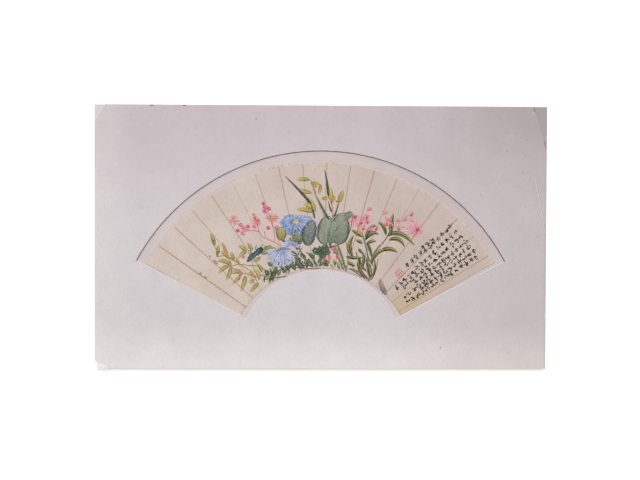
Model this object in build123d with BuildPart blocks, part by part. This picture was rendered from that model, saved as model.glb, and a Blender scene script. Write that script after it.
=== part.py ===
from build123d import *
import math
import os

# A painted fan leaf, taken off its sticks, flattened and pasted on a sheet, and shown in a
# hinged mount: a backing board, and a window mat with a fan-shaped opening that lifts on a
# linen tape along the top edge. The mount lies on its back: +X to the right, +Y to the top
# edge, +Z out of the picture. Millimetres and degrees.

# The fan leaf
leaf_radius = 290.0  # from the fan's pivot to the rim
leaf_band = 157.0  # from the rim in to the neck
crease_count = 17
crease_pitch = 7.05
left_panel = 6.4  # the end panels, trimmed narrower than a full pitch
right_panel = 2.7
leaf_turn = 0.35  # the leaf sits this much turned in its window
leaf_thickness = 0.15
lining_thickness = 0.15
lining_inset = 1.0  # the lining stops this far inside the leaf's edges
crease_width = 0.5
crease_depth = 0.05

# The window mat
rim_gap = 13.0  # sheet seen between the leaf's rim and the window
neck_gap = 1.5  # sheet seen between the leaf's neck and the window, on the middle line
neck_rise = 12.0  # the window's neck arc is struck from this far above the pivot
end_rise = 4.0  # the window's two ends point at this height above the pivot
end_margin = 1.15  # the window is cut this many degrees wider than the leaf at each end
side_margin = 61.4
upper_margin = 66.0
lower_margin = 74.0
bevel_angle = 30.0  # the cut leans this far from upright, so it is steeper than it is wide
corner_loss_width = 36.0  # the broken lower left corner
corner_loss_height = 13.5

# The boards
board_core = 2.0
facing_paper = 0.2
backing_side_inset = 2.5  # the backing is narrower than the mat at each side
backing_foot = 4.0  # and longer at the bottom
mat_clearance = 0.1  # between the leaf's face and the mat's back

# The mount sheet and its tissue hinges
sheet_thickness = 0.4
sheet_lap = 20.0  # sheet hidden behind the mat all round the window
tissue_thickness = 0.1
tab_count = 3
tab_width = 22.0
tab_under_sheet = 14.0
crosspiece_width = 50.0
tab_gap = 3.0

# The linen hinge tape
tape_width = 25.0  # on each board
tape_thickness = 0.2
tape_end_margin = 15.0
hinge_gap = 0.3  # from the boards' top edges out to the hinge line

# Heights in the stack
board_thickness = board_core + 2 * facing_paper
sheet_bottom = board_thickness + tissue_thickness
lining_bottom = sheet_bottom + sheet_thickness
leaf_bottom = lining_bottom + lining_thickness
leaf_top = leaf_bottom + leaf_thickness
mat_bottom = leaf_top + mat_clearance
mat_top = mat_bottom + board_thickness

# Radii and angles about the fan's pivot, which is the point (0, pivot_y)
leaf_neck = leaf_radius - leaf_band
leaf_span = (crease_count - 1) * crease_pitch + left_panel + right_panel
leaf_start = 90 + leaf_turn - leaf_span / 2
first_crease = leaf_start + right_panel
window_radius = leaf_radius + rim_gap
window_neck = leaf_neck - neck_gap - neck_rise
window_end_angle = 90 - leaf_span / 2 - end_margin


def end_line_meets(radius, rise):
    """The point, from the pivot, where the window's right end crosses an arc struck from rise."""
    slope = math.radians(window_end_angle)
    lift = end_rise - rise
    run = math.sqrt(radius**2 - (lift * math.cos(slope)) ** 2) - lift * math.sin(slope)
    return run * math.cos(slope), end_rise + run * math.sin(slope)


rim_corner_x, rim_corner_y = end_line_meets(window_radius, 0)
neck_corner_x, neck_corner_y = end_line_meets(window_neck, neck_rise)

# Outlines
mat_width = 2 * (rim_corner_x + side_margin)
mat_depth = lower_margin - neck_corner_y + window_radius + upper_margin
backing_width = mat_width - 2 * backing_side_inset
backing_depth = mat_depth + backing_foot
fold_outer = (mat_bottom - board_thickness) / 2
fold_inner = fold_outer - tape_thickness
fold_reach = hinge_gap + fold_outer
top_edge = (backing_depth - fold_reach) / 2
mat_foot = top_edge - mat_depth
pivot_y = mat_foot + lower_margin - neck_corner_y
hinge_y = top_edge + hinge_gap
hinge_z = board_thickness + fold_outer
sheet_width = 2 * (rim_corner_x + sheet_lap)
sheet_top = pivot_y + window_radius + sheet_lap
sheet_foot = pivot_y + neck_corner_y - sheet_lap
tab_stand = upper_margin - sheet_lap - tape_width - tab_gap
crosspiece_depth = tab_stand - 2 * tab_gap
tape_length = mat_width - 2 * tape_end_margin


def draw_backing_outline():
    """A plain rectangle whose top edge is the mat's top edge."""
    with Locations((0, top_edge)):
        Rectangle(backing_width, backing_depth, align=(Align.CENTER, Align.MAX))


def draw_mat_outline():
    """A rectangle whose lower left corner has broken off along a wavy line."""
    left = -mat_width / 2
    with BuildLine() as outline:
        torn = Spline(
            (left, mat_foot + corner_loss_height),
            (left + 0.08 * corner_loss_width, mat_foot + 0.74 * corner_loss_height),
            (left + 0.30 * corner_loss_width, mat_foot + 0.62 * corner_loss_height),
            (left + 0.56 * corner_loss_width, mat_foot + 0.16 * corner_loss_height),
            (left + corner_loss_width, mat_foot),
            tangents=[(0, -1), (1, 0)],
        )
        Polyline(torn @ 1, (-left, mat_foot), (-left, top_edge), (left, top_edge), torn @ 0)
    make_face(outline.edges())


def draw_window():
    """The fan-shaped opening where it meets the sheet: rim arc, neck arc and two straight ends."""
    rim_start = math.degrees(math.atan2(rim_corner_y, rim_corner_x))
    neck_start = math.degrees(math.atan2(neck_corner_y - neck_rise, neck_corner_x))
    with BuildLine() as outline:
        rim = CenterArc((0, pivot_y), window_radius, rim_start, 180 - 2 * rim_start)
        neck = CenterArc((0, pivot_y + neck_rise), window_neck, neck_start, 180 - 2 * neck_start)
        Line(rim @ 0, neck @ 0)
        Line(rim @ 1, neck @ 1)
    make_face(outline.edges())


def draw_leaf(inset):
    """A ring sector about the pivot, drawn in from the leaf's own edges by inset."""
    rim_radius = leaf_radius - inset
    trim = math.degrees(inset / rim_radius)
    with BuildLine() as outline:
        rim = CenterArc((0, pivot_y), rim_radius, leaf_start + trim, leaf_span - 2 * trim)
        neck = CenterArc((0, pivot_y), leaf_neck + inset, leaf_start + trim, leaf_span - 2 * trim)
        Line(rim @ 0, neck @ 0)
        Line(rim @ 1, neck @ 1)
    make_face(outline.edges())


# Backing board: a card core with a paper facing on each side
backing_layers = {
    "backing_back_paper": (0, facing_paper),
    "backing_core": (facing_paper, board_core),
    "backing_front_paper": (facing_paper + board_core, facing_paper),
}
pieces = {}
for name, (height, thickness) in backing_layers.items():
    with BuildPart() as backing_layer:
        with BuildSketch(Plane.XY.offset(height)):
            draw_backing_outline()
        extrude(amount=thickness)
    pieces[name] = backing_layer

# Window mat: the same build, with one bevelled cut through all its layers
mat_layers = {
    "mat_back_paper": (mat_bottom, facing_paper),
    "mat_core": (mat_bottom + facing_paper, board_core),
    "mat_face_paper": (mat_bottom + facing_paper + board_core, facing_paper),
}
for name, (height, thickness) in mat_layers.items():
    with BuildPart() as mat_layer:
        with BuildSketch(Plane.XY.offset(height)):
            draw_mat_outline()
        extrude(amount=thickness)
        with BuildSketch(Plane.XY.offset(mat_bottom)):
            draw_window()
        extrude(amount=board_thickness, taper=-bevel_angle, mode=Mode.SUBTRACT)
    pieces[name] = mat_layer

# Mount sheet that carries the leaf, a little larger than the window all round
with BuildPart() as mount_sheet:
    with BuildSketch(Plane.XY.offset(sheet_bottom)):
        with Locations((0, sheet_top)):
            Rectangle(sheet_width, sheet_top - sheet_foot, align=(Align.CENTER, Align.MAX))
    extrude(amount=sheet_thickness)
pieces["mount_sheet"] = mount_sheet

# Tissue hinges that hang the sheet from the backing: upright tabs, half behind the sheet,
# each locked down by a wider strip laid across it
tab_spacing = sheet_width / tab_count
with BuildPart() as tissue_tabs:
    with BuildSketch(Plane.XY.offset(board_thickness)):
        with Locations((0, sheet_top - tab_under_sheet)):
            with GridLocations(tab_spacing, 0, tab_count, 1):
                Rectangle(tab_width, tab_under_sheet + tab_stand, align=(Align.CENTER, Align.MIN))
    extrude(amount=tissue_thickness)
pieces["tissue_tabs"] = tissue_tabs

with BuildPart() as tissue_crosspieces:
    with BuildSketch(Plane.XY.offset(board_thickness + tissue_thickness)):
        with Locations((0, sheet_top + tab_gap)):
            with GridLocations(tab_spacing, 0, tab_count, 1):
                Rectangle(crosspiece_width, crosspiece_depth, align=(Align.CENTER, Align.MIN))
    extrude(amount=tissue_thickness)
pieces["tissue_crosspieces"] = tissue_crosspieces

# Paper lining pasted behind the leaf
with BuildPart() as leaf_lining:
    with BuildSketch(Plane.XY.offset(lining_bottom)):
        draw_leaf(lining_inset)
    extrude(amount=lining_thickness)
pieces["leaf_lining"] = leaf_lining

# The leaf itself, with the creases of its old folds worn into the face
with BuildPart() as fan_leaf:
    with BuildSketch(Plane.XY.offset(leaf_bottom)):
        draw_leaf(0)
    extrude(amount=leaf_thickness)
    crease_sweep = (crease_count - 1) * crease_pitch
    with BuildSketch(Plane.XY.offset(leaf_top)):
        with Locations((0, pivot_y)):
            with PolarLocations(
                leaf_radius - leaf_band / 2, crease_count, first_crease, crease_sweep, endpoint=True
            ):
                Rectangle(leaf_band + 2 * crease_width, crease_width)
    extrude(amount=-crease_depth, mode=Mode.SUBTRACT)
pieces["fan_leaf"] = fan_leaf

# Linen hinge tape: a flap on each board, and the fold between them round the hinge line
tape_flaps = {
    "hinge_tape_lower": board_thickness,
    "hinge_tape_upper": mat_bottom - tape_thickness,
}
for name, height in tape_flaps.items():
    with BuildPart() as tape_flap:
        with BuildSketch(Plane.XY.offset(height)):
            with Locations((0, top_edge)):
                Rectangle(tape_length, tape_width, align=(Align.CENTER, Align.MAX))
        extrude(amount=tape_thickness)
    pieces[name] = tape_flap

with BuildPart() as hinge_tape_fold:
    with BuildSketch(Plane.YZ.offset(-tape_length / 2)):
        with BuildLine():
            outside = CenterArc((hinge_y, hinge_z), fold_outer, -90, 180)
            inside = CenterArc((hinge_y, hinge_z), fold_inner, -90, 180)
            Polyline(
                outside @ 0,
                (top_edge, hinge_z - fold_outer),
                (top_edge, hinge_z - fold_inner),
                inside @ 0,
            )
            Polyline(
                outside @ 1,
                (top_edge, hinge_z + fold_outer),
                (top_edge, hinge_z + fold_inner),
                inside @ 1,
            )
        make_face()
    extrude(amount=tape_length)
pieces["hinge_tape_fold"] = hinge_tape_fold

os.makedirs("parts", exist_ok=True)
for name, piece in pieces.items():
    piece.part.label = name
    export_step(piece.part, f"parts/{name}.step")

print(f"mat {mat_width:.1f} x {mat_depth:.1f}, backing {backing_width:.1f} x {backing_depth:.1f}")
print(f"top edge {top_edge:.3f}, pivot {pivot_y:.3f}, hinge line y {hinge_y:.3f} z {hinge_z:.3f}")
print(f"leaf from {leaf_start:.2f} to {leaf_start + leaf_span:.2f}, ends {window_end_angle:.2f}")
print(f"sheet {sheet_width:.1f} wide, {sheet_foot:.1f} to {sheet_top:.1f}, stack {mat_top:.2f}")
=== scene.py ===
"""A painted fan leaf, flattened and mounted behind a window mat, in the order it is put together."""
import math

import bpy
import numpy as np
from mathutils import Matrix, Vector


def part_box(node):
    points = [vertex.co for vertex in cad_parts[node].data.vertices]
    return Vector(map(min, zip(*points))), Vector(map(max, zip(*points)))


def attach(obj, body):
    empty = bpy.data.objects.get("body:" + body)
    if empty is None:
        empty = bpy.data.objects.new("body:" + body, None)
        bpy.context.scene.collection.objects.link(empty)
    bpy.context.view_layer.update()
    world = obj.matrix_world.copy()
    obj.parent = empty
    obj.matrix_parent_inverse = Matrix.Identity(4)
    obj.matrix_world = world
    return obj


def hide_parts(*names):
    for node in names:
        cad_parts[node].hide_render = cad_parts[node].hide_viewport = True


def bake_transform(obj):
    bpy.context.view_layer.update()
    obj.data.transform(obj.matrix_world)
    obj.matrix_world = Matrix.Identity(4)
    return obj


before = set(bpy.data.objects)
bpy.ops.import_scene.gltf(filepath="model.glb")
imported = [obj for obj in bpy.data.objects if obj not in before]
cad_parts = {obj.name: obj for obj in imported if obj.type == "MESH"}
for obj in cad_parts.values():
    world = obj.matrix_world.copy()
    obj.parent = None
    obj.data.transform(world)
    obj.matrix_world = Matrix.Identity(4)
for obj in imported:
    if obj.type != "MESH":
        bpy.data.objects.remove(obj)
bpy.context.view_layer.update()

# ---- Stage: floor, light and camera -------------------------------------------------------------
# A plain pale floor under the mount, a pale room all round, and one broad lamp high beyond its top
# edge, so the window's lower bevels are better lit than the upper one.
FLOOR_HALF = 12.0
FLOOR_SHADE, FLOOR_GLOW = 0.34, 0.80
ROOM_LIGHT = 0.585
LAMP_HEIGHT_ANGLE = math.radians(72)
LAMP_STRENGTH = 1.385
LAMP_SOFTNESS = math.radians(20)
CAMERA_AIM = (-0.0020, -0.0020, 0.0057)
CAMERA_DISTANCE = 1.289
CAMERA_LENS, CAMERA_SENSOR = 50.0, 36.0
CAMERA_TILT, CAMERA_LEAN, CAMERA_ROLL = (math.radians(a) for a in (-0.82, -1.02, 0.216))


def wire(tree, kind, *values, **settings):
    """One shader node: the settings are its own properties, and the values fill its inputs in order.
    A socket is linked, a number or a colour is set, and None is left as it is."""
    made = tree.nodes.new("ShaderNode" + kind)
    for key, value in settings.items():
        setattr(made, key, value)
    for socket, value in zip(made.inputs, values):
        if isinstance(value, bpy.types.NodeSocket):
            tree.links.new(value, socket)
        elif value is not None:
            socket.default_value = value
    return made


def body(name, points, faces):
    """A closed mesh body from arrays of points and faces, in metres, at the origin. Its volume is
    the sum of the corner triple products over six, and where that is negative the faces turn."""
    points = np.asarray(points, float)
    middle = points - points.mean(0)
    volume = 0.0
    for part in faces:
        for k in range(1, part.shape[1] - 1):
            a, b, c = middle[part[:, 0]], middle[part[:, k]], middle[part[:, k + 1]]
            volume += float(np.einsum("ij,ij->i", a, np.cross(b, c)).sum())
    if volume < 0:
        faces = [part[:, ::-1] for part in faces]
    mesh = bpy.data.meshes.new(name)
    mesh.from_pydata(points.tolist(), [], [f for part in faces for f in part.tolist()])
    mesh.polygons.foreach_set("use_smooth", np.ones(len(mesh.polygons), bool))
    mesh.update()
    made = bpy.data.objects.new(name, mesh)
    bpy.context.scene.collection.objects.link(made)
    return made


scene = bpy.context.scene
scene.view_settings.view_transform = "Standard"
room = bpy.data.worlds.new("pale_room")
room.use_nodes = True
room.node_tree.nodes["Background"].inputs["Color"].default_value = (1.0, 1.0, 1.0, 1.0)
room.node_tree.nodes["Background"].inputs["Strength"].default_value = ROOM_LIGHT
scene.world = room

lamp = bpy.data.objects.new("window_lamp", bpy.data.lights.new("window_lamp", "SUN"))
lamp.data.energy = LAMP_STRENGTH
lamp.data.angle = LAMP_SOFTNESS
lamp.rotation_euler = (LAMP_HEIGHT_ANGLE - math.pi / 2, 0.0, 0.0)
scene.collection.objects.link(lamp)

floor_mesh = bpy.data.meshes.new("floor")
floor_corners = ((-1, -1), (1, -1), (1, 1), (-1, 1))
floor_mesh.from_pydata([(x * FLOOR_HALF, y * FLOOR_HALF, 0.0) for x, y in floor_corners],
                       [], [(0, 1, 2, 3)])
floor = bpy.data.objects.new("floor", floor_mesh)
scene.collection.objects.link(floor)
floor_paint = bpy.data.materials.new("pale_floor")
floor_paint.use_nodes = True
floor_shader = floor_paint.node_tree.nodes["Principled BSDF"]
floor_shader.inputs["Base Color"].default_value = (FLOOR_SHADE,) * 3 + (1.0,)
floor_shader.inputs["Roughness"].default_value = 1.0
floor_shader.inputs["Emission Color"].default_value = (1.0, 1.0, 1.0, 1.0)
floor_shader.inputs["Emission Strength"].default_value = FLOOR_GLOW
floor_mesh.materials.append(floor_paint)

camera = bpy.data.objects.new("camera", bpy.data.cameras.new("camera"))
camera.data.lens = CAMERA_LENS
camera.data.sensor_width = CAMERA_SENSOR
camera.rotation_euler = (CAMERA_TILT, CAMERA_LEAN, CAMERA_ROLL)
scene.collection.objects.link(camera)
back_off = camera.rotation_euler.to_matrix() @ Vector((0.0, 0.0, CAMERA_DISTANCE))
camera.location = [a + b for a, b in zip(CAMERA_AIM, back_off)]
scene.camera = camera

# ---- Backing board ------------------------------------------------------------------------------
# Six-ply museum board: a white card core between two facing papers, cut a little taller than the
# mat. Its front paper is the near-white strip seen under the mat's foot and at the broken corner.


def shade(red, green, blue):
    """A colour given as 0 to 255 display values, turned to the linear light a shader works in."""
    value = np.array([red, green, blue]) / 255.0
    return np.where(value <= 0.04045, value / 12.92, ((value + 0.055) / 1.055) ** 2.4)


def rgba(colour):
    """A linear colour with full cover, as a shader socket takes it."""
    return tuple(float(c) for c in colour) + (1.0,)


def mixed(tree, factor, under, over, mode="MIX"):
    """Two colours mixed by a factor, each of them a socket or a linear colour."""
    made = wire(tree, "Mix", data_type="RGBA", blend_type=mode)
    for index, value in ((0, factor), (6, under), (7, over)):
        if isinstance(value, bpy.types.NodeSocket):
            tree.links.new(value, made.inputs[index])
        else:
            made.inputs[index].default_value = value if index == 0 else rgba(value)
    return made.outputs[2]


def ramp(tree, value, low, high, start=0.0, end=1.0):
    """A smooth step of value from low to high, giving start to end."""
    made = wire(tree, "MapRange", value, low, high, start, end, interpolation_type="SMOOTHSTEP")
    return made.outputs[0]


def sums(tree, operation, a, b=None, c=None):
    """One arithmetic node."""
    return wire(tree, "Math", a, b, c, operation=operation).outputs[0]


PAPER_ROUGHNESS, PAPER_SHEEN = 0.92, 0.25
SPECK_SPREAD, SPECK_DARK, SPECK_COVER = 0.16, 0.55, 0.25


def paper(name, light, dark, cloud_scale=14.0, fibre_scale=900.0, fibre_dark=0.05, tooth=0.00005):
    """A paper: slow clouds between two tones, short fibres that darken it a little, sparse specks,
    and a fine tooth from noise at fibre size. Patterns are on Object coordinates, in metres."""
    made = bpy.data.materials.new(name)
    made.use_nodes = True
    tree = made.node_tree
    shader = tree.nodes["Principled BSDF"]
    place = wire(tree, "TexCoord").outputs["Object"]
    cloud = wire(tree, "TexNoise", place, None, cloud_scale, 5.0, 0.6).outputs[0]
    colour = mixed(tree, ramp(tree, cloud, 0.3, 0.7), dark, light)
    laid = wire(tree, "Mapping", place, None, (0.0, 0.0, 0.3), (1.0, 0.22, 1.0)).outputs[0]
    fibre = wire(tree, "TexNoise", laid, None, fibre_scale, 3.0, 0.65).outputs[0]
    colour = mixed(tree, ramp(tree, fibre, 0.45, 0.75), colour, (1 - fibre_dark * 3,) * 3, "MULTIPLY")
    speck = wire(tree, "TexVoronoi", place, None, fibre_scale * SPECK_SPREAD).outputs[0]
    speck = ramp(tree, speck, 0.10, 0.03, 0.0, SPECK_COVER)
    colour = mixed(tree, speck, colour, tuple(SPECK_DARK * c for c in dark))
    tree.links.new(colour, shader.inputs["Base Color"])
    shader.inputs["Roughness"].default_value = PAPER_ROUGHNESS
    shader.inputs["Specular IOR Level"].default_value = PAPER_SHEEN
    bump = wire(tree, "Bump", 0.5, tooth, None, fibre)
    tree.links.new(bump.outputs[0], shader.inputs["Normal"])
    return made, tree, place, shader


def lay_over(tree, shader, mask, colour, mode="MIX"):
    """Lays a colour, by a mask, over what already feeds the shader's colour."""
    under = shader.inputs["Base Color"].links[0].from_socket
    tree.links.new(mixed(tree, mask, under, colour, mode), shader.inputs["Base Color"])


def dress(name, material):
    """Gives a carried-over part its finish, in every slot."""
    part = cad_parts[name]
    for held in part.material_slots:
        held.material = material
    if not part.material_slots:
        part.data.materials.append(material)


front_white = paper("backing_front_paper", shade(245, 244, 243), shade(239, 238, 236), 9.0, 1100.0,
                    0.02)
_, tree, place, shader = front_white
# Painted shadow: ragged grey shade on the front paper at the lower left corner, under the mat's broken
# corner.
corner_shadow_noise = wire(tree, "TexNoise", place, None, 55.0, 6.0, 0.7).outputs[0]
across = wire(tree, "SeparateXYZ", place).outputs
corner_shadow = sums(tree, "MULTIPLY", ramp(tree, across[0], -0.300, -0.320),
                   ramp(tree, across[1], -0.184, -0.191))
corner_shadow = sums(tree, "MULTIPLY", corner_shadow, ramp(tree, corner_shadow_noise, 0.42, 0.60, 0.0, 0.8))
lay_over(tree, shader, corner_shadow, shade(176, 172, 168))
dress("backing_front_paper", front_white[0])
rear_white = paper("backing_back_paper", shade(232, 230, 225), shade(222, 219, 212), 7.0, 900.0, 0.04)
dress("backing_back_paper", rear_white[0])


def card(name, light, dark, ply):
    """Card edge: paper colour with thin darker plies stacked every ply metres of height."""
    made, tree, place, shader = paper(name, light, dark, 40.0, 1400.0, 0.04, 0.00006)
    height = wire(tree, "SeparateXYZ", place).outputs[2]
    wave = sums(tree, "SINE", sums(tree, "MULTIPLY", height, 2 * math.pi / ply))
    lay_over(tree, shader, ramp(tree, wave, 0.72, 0.98, 0.0, 0.35), tuple(PLY_DARK * c for c in dark))
    return made, tree, place, shader


PLY, PLY_DARK = 0.0004, 0.72
dress("backing_core", card("backing_core", shade(232, 227, 216), shade(220, 213, 200), PLY)[0])

# ---- Tissue hinges ------------------------------------------------------------------------------
# Three long-fibred tissue tabs half under the mount sheet, each held by a wider strip laid across
# it, all put down with starch paste, which leaves them faintly cockled and stained.
tissue = paper("hinge_tissue", shade(238, 232, 218), shade(222, 213, 194), 60.0, 320.0, 0.08, 0.00012)
_, tree, place, shader = tissue
drawn_out = wire(tree, "Mapping", place, None, (0, 0, 0.9), (1.0, 0.12, 1.0)).outputs[0]
strands = wire(tree, "TexVoronoi", drawn_out, None, 420.0, feature="DISTANCE_TO_EDGE").outputs[0]
lay_over(tree, shader, ramp(tree, strands, 0.07, 0.0, 0.0, 0.45), shade(250, 247, 238))
dress("tissue_tabs", tissue[0])
dress("tissue_crosspieces", tissue[0])

# ---- Mount sheet --------------------------------------------------------------------------------
# A pale lilac-pink sheet that the leaf is pasted on. It shows as a strip above the rim, at the right
# end and below the neck, and has a little painted shade, darker towards the right.
mount = paper("mount_sheet", shade(214, 201, 200), shade(206, 193, 193), 11.0, 1000.0, 0.03)
_, tree, place, shader = mount
across = wire(tree, "SeparateXYZ", place).outputs
# Painted shade: the sheet darkens a little towards the right.
lay_over(tree, shader, ramp(tree, across[0], -0.27, 0.27), shade(246, 246, 244), "MULTIPLY")
dress("mount_sheet", mount[0])

# ---- Leaf lining --------------------------------------------------------------------------------
# The thin paper pasted behind the leaf when it was flattened, trimmed a millimetre inside its edge.
lining = paper("leaf_lining", shade(226, 214, 194), shade(208, 193, 170), 30.0, 700.0, 0.07)
dress("leaf_lining", lining[0])

# ---- Fan leaf -----------------------------------------------------------------------------------
# The painted paper arc, off its sticks and pasted flat. Its seventeen old folds still stand as low
# ridges and hollows, with soil and paint loss along each. The paper has cockled, its rim is rubbed.
LEAF_LOW, LEAF_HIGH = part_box("fan_leaf")
LEAF_RADIUS, LEAF_BAND = 0.290, 0.157
PIVOT_Y = LEAF_HIGH.y - LEAF_RADIUS
LEAF_START, LEAF_END = 29.40, 151.30
FIRST_FOLD, FOLD_PITCH, FOLD_COUNT = 32.10, 7.05, 17
FOLDS = FIRST_FOLD + FOLD_PITCH * np.arange(FOLD_COUNT)
FOLD_RISE, FOLD_WIDTH, COCKLE = 0.00009, 0.0009, 0.00004
FRAY, EDGE_THIN, EDGE_REACH = 0.00022, 0.00009, 0.0008


def leaf_top(x, y):
    """Height of the leaf's painted face at x, y. The sheet's level, plus at each fold a bell of
    FOLD_RISE that is up or down by turns, plus two slow waves of COCKLE round and along the band."""
    x, y = np.asarray(x, float), np.asarray(y, float) - PIVOT_Y
    around, out = np.degrees(np.arctan2(y, x)), np.hypot(x, y)
    number = np.clip(np.round((around - FIRST_FOLD) / FOLD_PITCH), 0, FOLD_COUNT - 1)
    off = np.radians(around - FIRST_FOLD - FOLD_PITCH * number) * out
    bell = np.exp(-((off / FOLD_WIDTH) ** 2)) * np.where(number % 2 == 0, 1.0, -0.8)
    wave = np.sin(np.radians(around) * 31.0 + out * 40.0) * 0.6
    wave = wave + np.sin(out * 95.0 + around * 0.21) * 0.4
    return LEAF_HIGH.z + FOLD_RISE * bell + COCKLE * wave


def slab(top, under):
    """Points and faces of the closed body between two n by m grids of points: both grids, and a
    wall of quads round their shared border."""
    n, m = top.shape[:2]
    index = np.arange(n * m).reshape(n, m)
    a, b, c, d = (index[:-1, :-1], index[1:, :-1], index[1:, 1:], index[:-1, 1:])
    upper = np.stack([a, b, c, d], -1).reshape(-1, 4)
    lower = np.stack([a, d, c, b], -1).reshape(-1, 4) + n * m
    border = np.concatenate([index[0, :], index[1:, -1], index[-1, -2::-1], index[-2:0:-1, 0]])
    after = np.roll(border, -1)
    wall = np.stack([border, after, after + n * m, border + n * m], -1)
    return np.concatenate([top.reshape(-1, 3), under.reshape(-1, 3)]), [upper, lower, wall]


def flat_map(made, low, high):
    """A map for the finish laid straight down on the piece: x and y scaled into the unit square."""
    mesh = made.data
    co = np.empty(len(mesh.vertices) * 3)
    mesh.vertices.foreach_get("co", co)
    corner = np.empty(len(mesh.loops), int)
    mesh.loops.foreach_get("vertex_index", corner)
    span = max(high[0] - low[0], high[1] - low[1])
    spot = (co.reshape(-1, 3)[:, :2] - np.array([low[0], low[1]])) / span * 0.98 + 0.01
    mesh.uv_layers.new(name="OFBake").data.foreach_set("uv", spot[corner].ravel())


beside_fold = np.array([-0.34, -0.2, -0.1, 0.0, 0.1, 0.2, 0.34])
near_folds = (FOLDS[:, None] + beside_fold).ravel()
around = np.unique(np.round(np.concatenate([np.linspace(LEAF_START, LEAF_END, 300), near_folds]), 4))
out = np.linspace(LEAF_RADIUS - LEAF_BAND, LEAF_RADIUS, 64)
turn, reach = np.meshgrid(np.radians(around), out, indexing="ij")
at_rim = reach >= LEAF_RADIUS - 1e-9
reach = reach - at_rim * np.abs(FRAY * np.sin(turn * 210.0) * np.sin(turn * 83.0 + 1.0))
face = np.stack([reach * np.cos(turn), PIVOT_Y + reach * np.sin(turn), np.zeros_like(turn)], -1)
face[..., 2] = leaf_top(face[..., 0], face[..., 1])
in_from_edge = np.minimum(LEAF_RADIUS - reach, reach - LEAF_RADIUS + LEAF_BAND)
thinned = EDGE_THIN * np.exp(-np.maximum(in_from_edge, 0.0) / EDGE_REACH)
rear = face.copy()
face[..., 2] -= thinned
rear[..., 2] = LEAF_LOW.z
fan_leaf = body("painted_leaf", *slab(face, rear))
flat_map(fan_leaf, LEAF_LOW, LEAF_HIGH)


def fold_marks(tree, place):
    """How far each point lies from its nearest fold, that fold's own darkness, the point's turn
    about the pivot and its distance out, in metres and radians. The turn less the first fold, over
    the pitch, rounds to the fold's number. The last fold is darkest."""
    spot = wire(tree, "SeparateXYZ", place).outputs
    rise = sums(tree, "SUBTRACT", spot[1], PIVOT_Y)
    turned = sums(tree, "ARCTAN2", rise, spot[0])
    out = sums(tree, "SQRT", sums(tree, "ADD", sums(tree, "MULTIPLY", spot[0], spot[0]),
                                  sums(tree, "MULTIPLY", rise, rise)))
    count = sums(tree, "DIVIDE", sums(tree, "SUBTRACT", turned, math.radians(FIRST_FOLD)),
                 math.radians(FOLD_PITCH))
    number = sums(tree, "ROUND", count)
    off = sums(tree, "MULTIPLY", sums(tree, "ABSOLUTE", sums(tree, "SUBTRACT", count, number)),
               sums(tree, "MULTIPLY", out, math.radians(FOLD_PITCH)))
    luck = wire(tree, "TexWhiteNoise", None, number, noise_dimensions="1D").outputs[0]
    last = ramp(tree, number, FOLD_COUNT - 1.8, FOLD_COUNT - 1.2, 0.0, 0.45)
    return off, sums(tree, "ADD", ramp(tree, luck, 0.0, 1.0, 0.34, 0.78), last), turned, out


leaf_paper = paper("leaf_paper", shade(215, 200, 191), shade(206, 190, 179), 17.0, 750.0, 0.035,
                   0.00008)
_, tree, place, shader = leaf_paper
off, darkness, turned, out_way = fold_marks(tree, place)
# Painted shade: the leaf darkens a little towards its right end.
leaf_shade_rightward = ramp(tree, turned, math.radians(150), math.radians(35))
lay_over(tree, shader, leaf_shade_rightward, shade(243, 240, 240), "MULTIPLY")
toned = sums(tree, "MULTIPLY", ramp(tree, turned, math.radians(48), math.radians(31)),
             ramp(tree, out_way, 0.235, 0.140, 0.15, 0.85))
lay_over(tree, shader, toned, shade(196, 174, 146))
broken = wire(tree, "TexNoise", place, None, 260.0, 4.0, 0.7).outputs[0]
darkness = sums(tree, "MULTIPLY", darkness, ramp(tree, out_way, 0.2890, 0.2855, 0.15, 1.0))
halo = sums(tree, "MULTIPLY", ramp(tree, off, 0.0036, 0.0, 0.0, 0.34), darkness)
lay_over(tree, shader, sums(tree, "MULTIPLY", halo, ramp(tree, broken, 0.3, 0.7)), shade(190, 158, 126))
line = sums(tree, "MULTIPLY", ramp(tree, off, 0.00075, 0.00022), darkness)
line = sums(tree, "MULTIPLY", line, ramp(tree, broken, 0.25, 0.55, 0.35, 0.95))
lay_over(tree, shader, line, shade(140, 98, 66))
frayed = wire(tree, "TexNoise", place, None, 120.0, 4.0, 0.7).outputs[0]
frayed = sums(tree, "MULTIPLY_ADD", frayed, 0.0110, out_way)
lay_over(tree, shader, ramp(tree, frayed, 0.2908, 0.2956, 0.0, 0.80), shade(213, 200, 198))
foxing = wire(tree, "TexVoronoi", place, None, 52.0).outputs[0]
lay_over(tree, shader, ramp(tree, foxing, 0.11, 0.02, 0.0, 0.30), shade(166, 132, 100))
fan_leaf.data.materials.append(leaf_paper[0])
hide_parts("fan_leaf")
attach(fan_leaf, "backing")

# ---- Painting: stems and twigs ------------------------------------------------------------------
# Opaque water colour laid on the leaf with a pointed brush, thin twigs and stalks first. Every
# stroke is a low lens of paint whose edge sinks in the paper, and the folds run through all of it.
STROKE_ROWS = 11
PAINT_THICK, PAINT_STEP = 0.00003, 0.000012
AROUND_STROKE = np.array([-1.0, -0.5, 0.0, 0.5, 1.0, 0.0])
AROUND_MAP = np.array([0.08, 0.29, 0.5, 0.71, 0.92, 0.98])
LIFT_STROKE = np.array([0.0, 0.8, 1.0, 0.8, 0.0, -0.6])
SIDE_DARK, FAR_SIDE_DARK, END_DARK = 0.24, 0.10, 0.8
BRUSH = {"leaf": (0.85, 0.75, 0.0), "stem": (1.0, 0.12, 0.0), "petal": (1.6, 0.55, 0.0),
         "dab": (1.0, 0.45, 0.0), "blade": (0.55, 0.7, 0.0), "toothed": (0.8, 0.7, 0.22)}


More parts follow.
